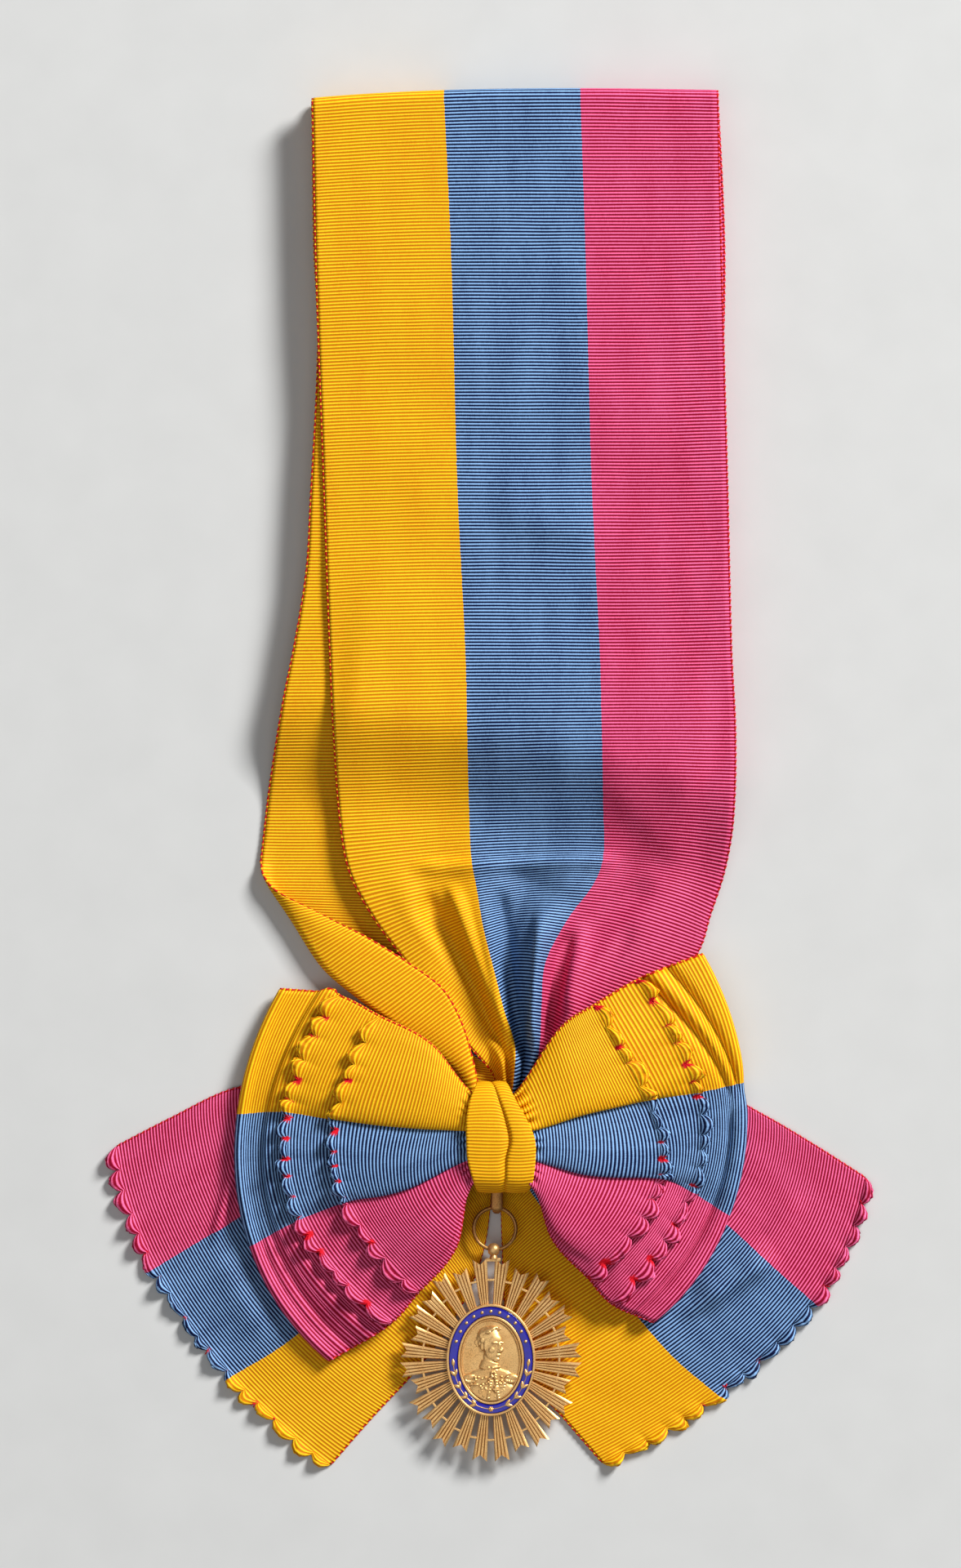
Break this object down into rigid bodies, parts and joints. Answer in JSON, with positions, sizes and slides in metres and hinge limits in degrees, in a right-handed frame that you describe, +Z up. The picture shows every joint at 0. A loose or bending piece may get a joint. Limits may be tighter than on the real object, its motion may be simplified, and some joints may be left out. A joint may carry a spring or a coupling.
{
  "type": "grand cross badge with sash",
  "caption": "Pierced gilt star badge with an enamelled oval centre, hung from the bow of a broad striped ribbon sash that lies folded.",
  "frame": {"origin": "underside of the folded sash at z = 0, near the middle of its flat stack", "axes": "+X to the right as seen from above, +Y towards the folded end of the sash, +Z up towards the viewer"},
  "size_m": [0.1915, 0.349, 0.0171],
  "materials": {
    "striped_ribbon": "ribbed across its width, three equal stripes of yellow, blue and rose red",
    "yellow_ribbon": "ribbed across its width",
    "gilt_metal": "worn satin gilding with polished edges",
    "blue_enamel": "glossy, opaque"
  },
  "bodies": {
    "root": {"sash_ribbon": "striped_ribbon", "tail_left": "striped_ribbon", "tail_right": "striped_ribbon", "bow_loops": "striped_ribbon", "bow_strip_long": "striped_ribbon", "bow_strip_short": "striped_ribbon", "knot_band": "yellow_ribbon", "hanging_loop": "gilt_metal", "hanging_pin": "gilt_metal", "suspension_ring": "gilt_metal", "badge_star": "gilt_metal", "medallion": "gilt_metal", "enamel_band": "blue_enamel"}
  },
  "joints": []
}
